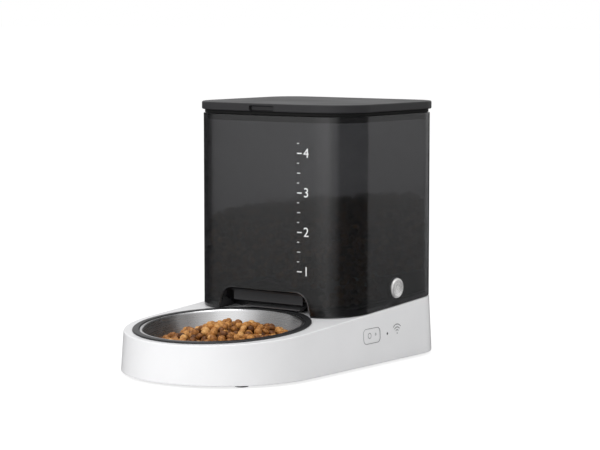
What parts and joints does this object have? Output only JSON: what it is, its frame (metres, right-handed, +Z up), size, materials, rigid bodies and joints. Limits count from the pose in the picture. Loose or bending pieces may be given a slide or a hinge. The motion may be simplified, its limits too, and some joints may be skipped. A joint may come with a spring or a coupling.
{
  "type": "smart pet feeder",
  "caption": "Automatic dry-food feeder: smoke-clear food tank with a metering rotor on a sloping white base, steel bowl in front, lift-off lid and a feed button on the side.",
  "frame": {"origin": "centre of the overall box, on the surface that the feeder stands on", "axes": "+Z up, -Y towards the bowl at the front, +X towards the side with the feed button"},
  "size_m": [0.19, 0.3119, 0.2406],
  "materials": {
    "white_housing": "fine satin",
    "pale_plastic": "satin",
    "dark_plastic": "satin",
    "lid_plastic": "satin",
    "gloss_dark_plastic": "polished",
    "ring_plastic": "satin gloss",
    "smoke_clear": "clear smoke, polished",
    "stainless": "brushed",
    "silver_knob": "brushed",
    "brass": "machined",
    "gear_plastic": "natural",
    "foot_rubber": "matt",
    "seal_rubber": "matt",
    "soft_silicone": "matt",
    "board": "solder mask",
    "lamp_lens": "polished",
    "cell_metal": "plain",
    "desiccant": "paper"
  },
  "bodies": {
    "base": {"base_shell": "white_housing", "base_bottom": "white_housing", "foot_front_left": "foot_rubber", "foot_front_right": "foot_rubber", "foot_rear_left": "foot_rubber", "foot_rear_right": "foot_rubber", "base_screw_front_left": "stainless", "base_screw_front_right": "stainless", "base_screw_rear_left": "stainless", "base_screw_rear_right": "stainless", "bowl_ring": "ring_plastic", "idler_pin": "stainless", "drive_motor": "stainless", "gearbox_frame": "dark_plastic", "gearbox_cover": "dark_plastic", "circuit_board": "board", "wireless_module": "stainless", "button_switch": "dark_plastic", "indicator_lens": "lamp_lens", "power_inlet": "dark_plastic", "battery_holder": "dark_plastic", "battery_cell_1": "cell_metal", "battery_cell_2": "cell_metal", "battery_cell_3": "cell_metal", "battery_cell_4": "cell_metal"},
    "bowl": {"steel_bowl": "stainless"},
    "hatch": {"battery_hatch": "white_housing"},
    "button": {"feed_button": "white_housing"},
    "drive": {"output_gear": "gear_plastic", "drive_coupling": "stainless"},
    "idler": {"idler_gear": "gear_plastic"},
    "pinion": {"motor_pinion": "brass"},
    "tank": {"tank_shell": "smoke_clear", "hopper_floor": "dark_plastic", "outlet_hood": "gloss_dark_plastic", "outlet_ramp": "gloss_dark_plastic", "outlet_baffle": "dark_plastic", "latch_housing_right": "dark_plastic", "latch_housing_left": "dark_plastic", "release_spring_right": "stainless", "release_spring_left": "stainless"},
    "flap": {"outlet_flap": "gloss_dark_plastic"},
    "rotor": {"rotor_hub": "dark_plastic", "rotor_paddles": "soft_silicone", "rotor_stirrer": "dark_plastic", "rotor_socket": "dark_plastic"},
    "release_right": {"release_button_right": "silver_knob", "release_latch_right": "dark_plastic"},
    "release_left": {"release_button_left": "silver_knob", "release_latch_left": "dark_plastic"},
    "lid": {"lid": "lid_plastic", "lid_gasket": "seal_rubber", "desiccant_box": "pale_plastic", "desiccant_pack": "desiccant"},
    "dryer_cover": {"desiccant_cover": "pale_plastic"}
  },
  "joints": [
    {"name": "tank_lift", "type": "slide", "parent": "base", "child": "tank", "axis": [0, -0.0649, 0.9979], "range_m": [0, 0.2]},
    {"name": "lid_lift", "type": "slide", "parent": "tank", "child": "lid", "axis": [0, 0, 1], "range_m": [0, 0.12]},
    {"name": "dryer_cover_drop", "type": "slide", "parent": "lid", "child": "dryer_cover", "axis": [0, 0, -1], "range_m": [0, 0.03]},
    {"name": "bowl_tilt", "type": "hinge", "parent": "base", "child": "bowl", "pos_m": [0, 0.00928, 0.04745], "axis": [-1, 0, 0], "range_deg": [0, 20]},
    {"name": "flap_swing", "type": "hinge", "parent": "tank", "child": "flap", "pos_m": [0, 0.00226, 0.06604], "axis": [-1, 0, 0], "range_deg": [0, 50]},
    {"name": "rotor_turn", "type": "hinge", "parent": "tank", "child": "rotor", "pos_m": [0, 0.08382, 0.0523], "axis": [0, -0.0649, 0.9979], "continuous": true},
    {"name": "drive_turn", "type": "hinge", "parent": "base", "child": "drive", "pos_m": [0, 0.08382, 0.0523], "axis": [0, -0.0649, 0.9979], "continuous": true},
    {"name": "idler_turn", "type": "hinge", "parent": "base", "child": "idler", "pos_m": [-0.0301, 0.08382, 0.0523], "axis": [0, -0.0649, 0.9979], "continuous": true},
    {"name": "pinion_turn", "type": "hinge", "parent": "base", "child": "pinion", "pos_m": [-0.0552, 0.08382, 0.0523], "axis": [0, -0.0649, 0.9979], "continuous": true},
    {"name": "feed_press", "type": "slide", "parent": "base", "child": "button", "axis": [-0.9985, 0, -0.0555], "range_m": [0, 0.001], "stiffness_N_per_m": 400, "springref_m": -0.001},
    {"name": "release_right_press", "type": "slide", "parent": "tank", "child": "release_right", "axis": [-1, 0, 0], "range_m": [0, 0.0025], "stiffness_N_per_m": 400, "springref_m": -0.002, "deforming": ["release_spring_right"]},
    {"name": "release_left_press", "type": "slide", "parent": "tank", "child": "release_left", "axis": [1, 0, 0], "range_m": [0, 0.0025], "stiffness_N_per_m": 400, "springref_m": -0.002, "deforming": ["release_spring_left"]},
    {"name": "hatch_drop", "type": "slide", "parent": "base", "child": "hatch", "axis": [0, 0, -1], "range_m": [0, 0.05]}
  ],
  "couplings": [
    {"joint": "drive_turn", "follows": "rotor_turn", "ratio": 1},
    {"joint": "idler_turn", "follows": "rotor_turn", "ratio": -4},
    {"joint": "pinion_turn", "follows": "rotor_turn", "ratio": 16}
  ]
}
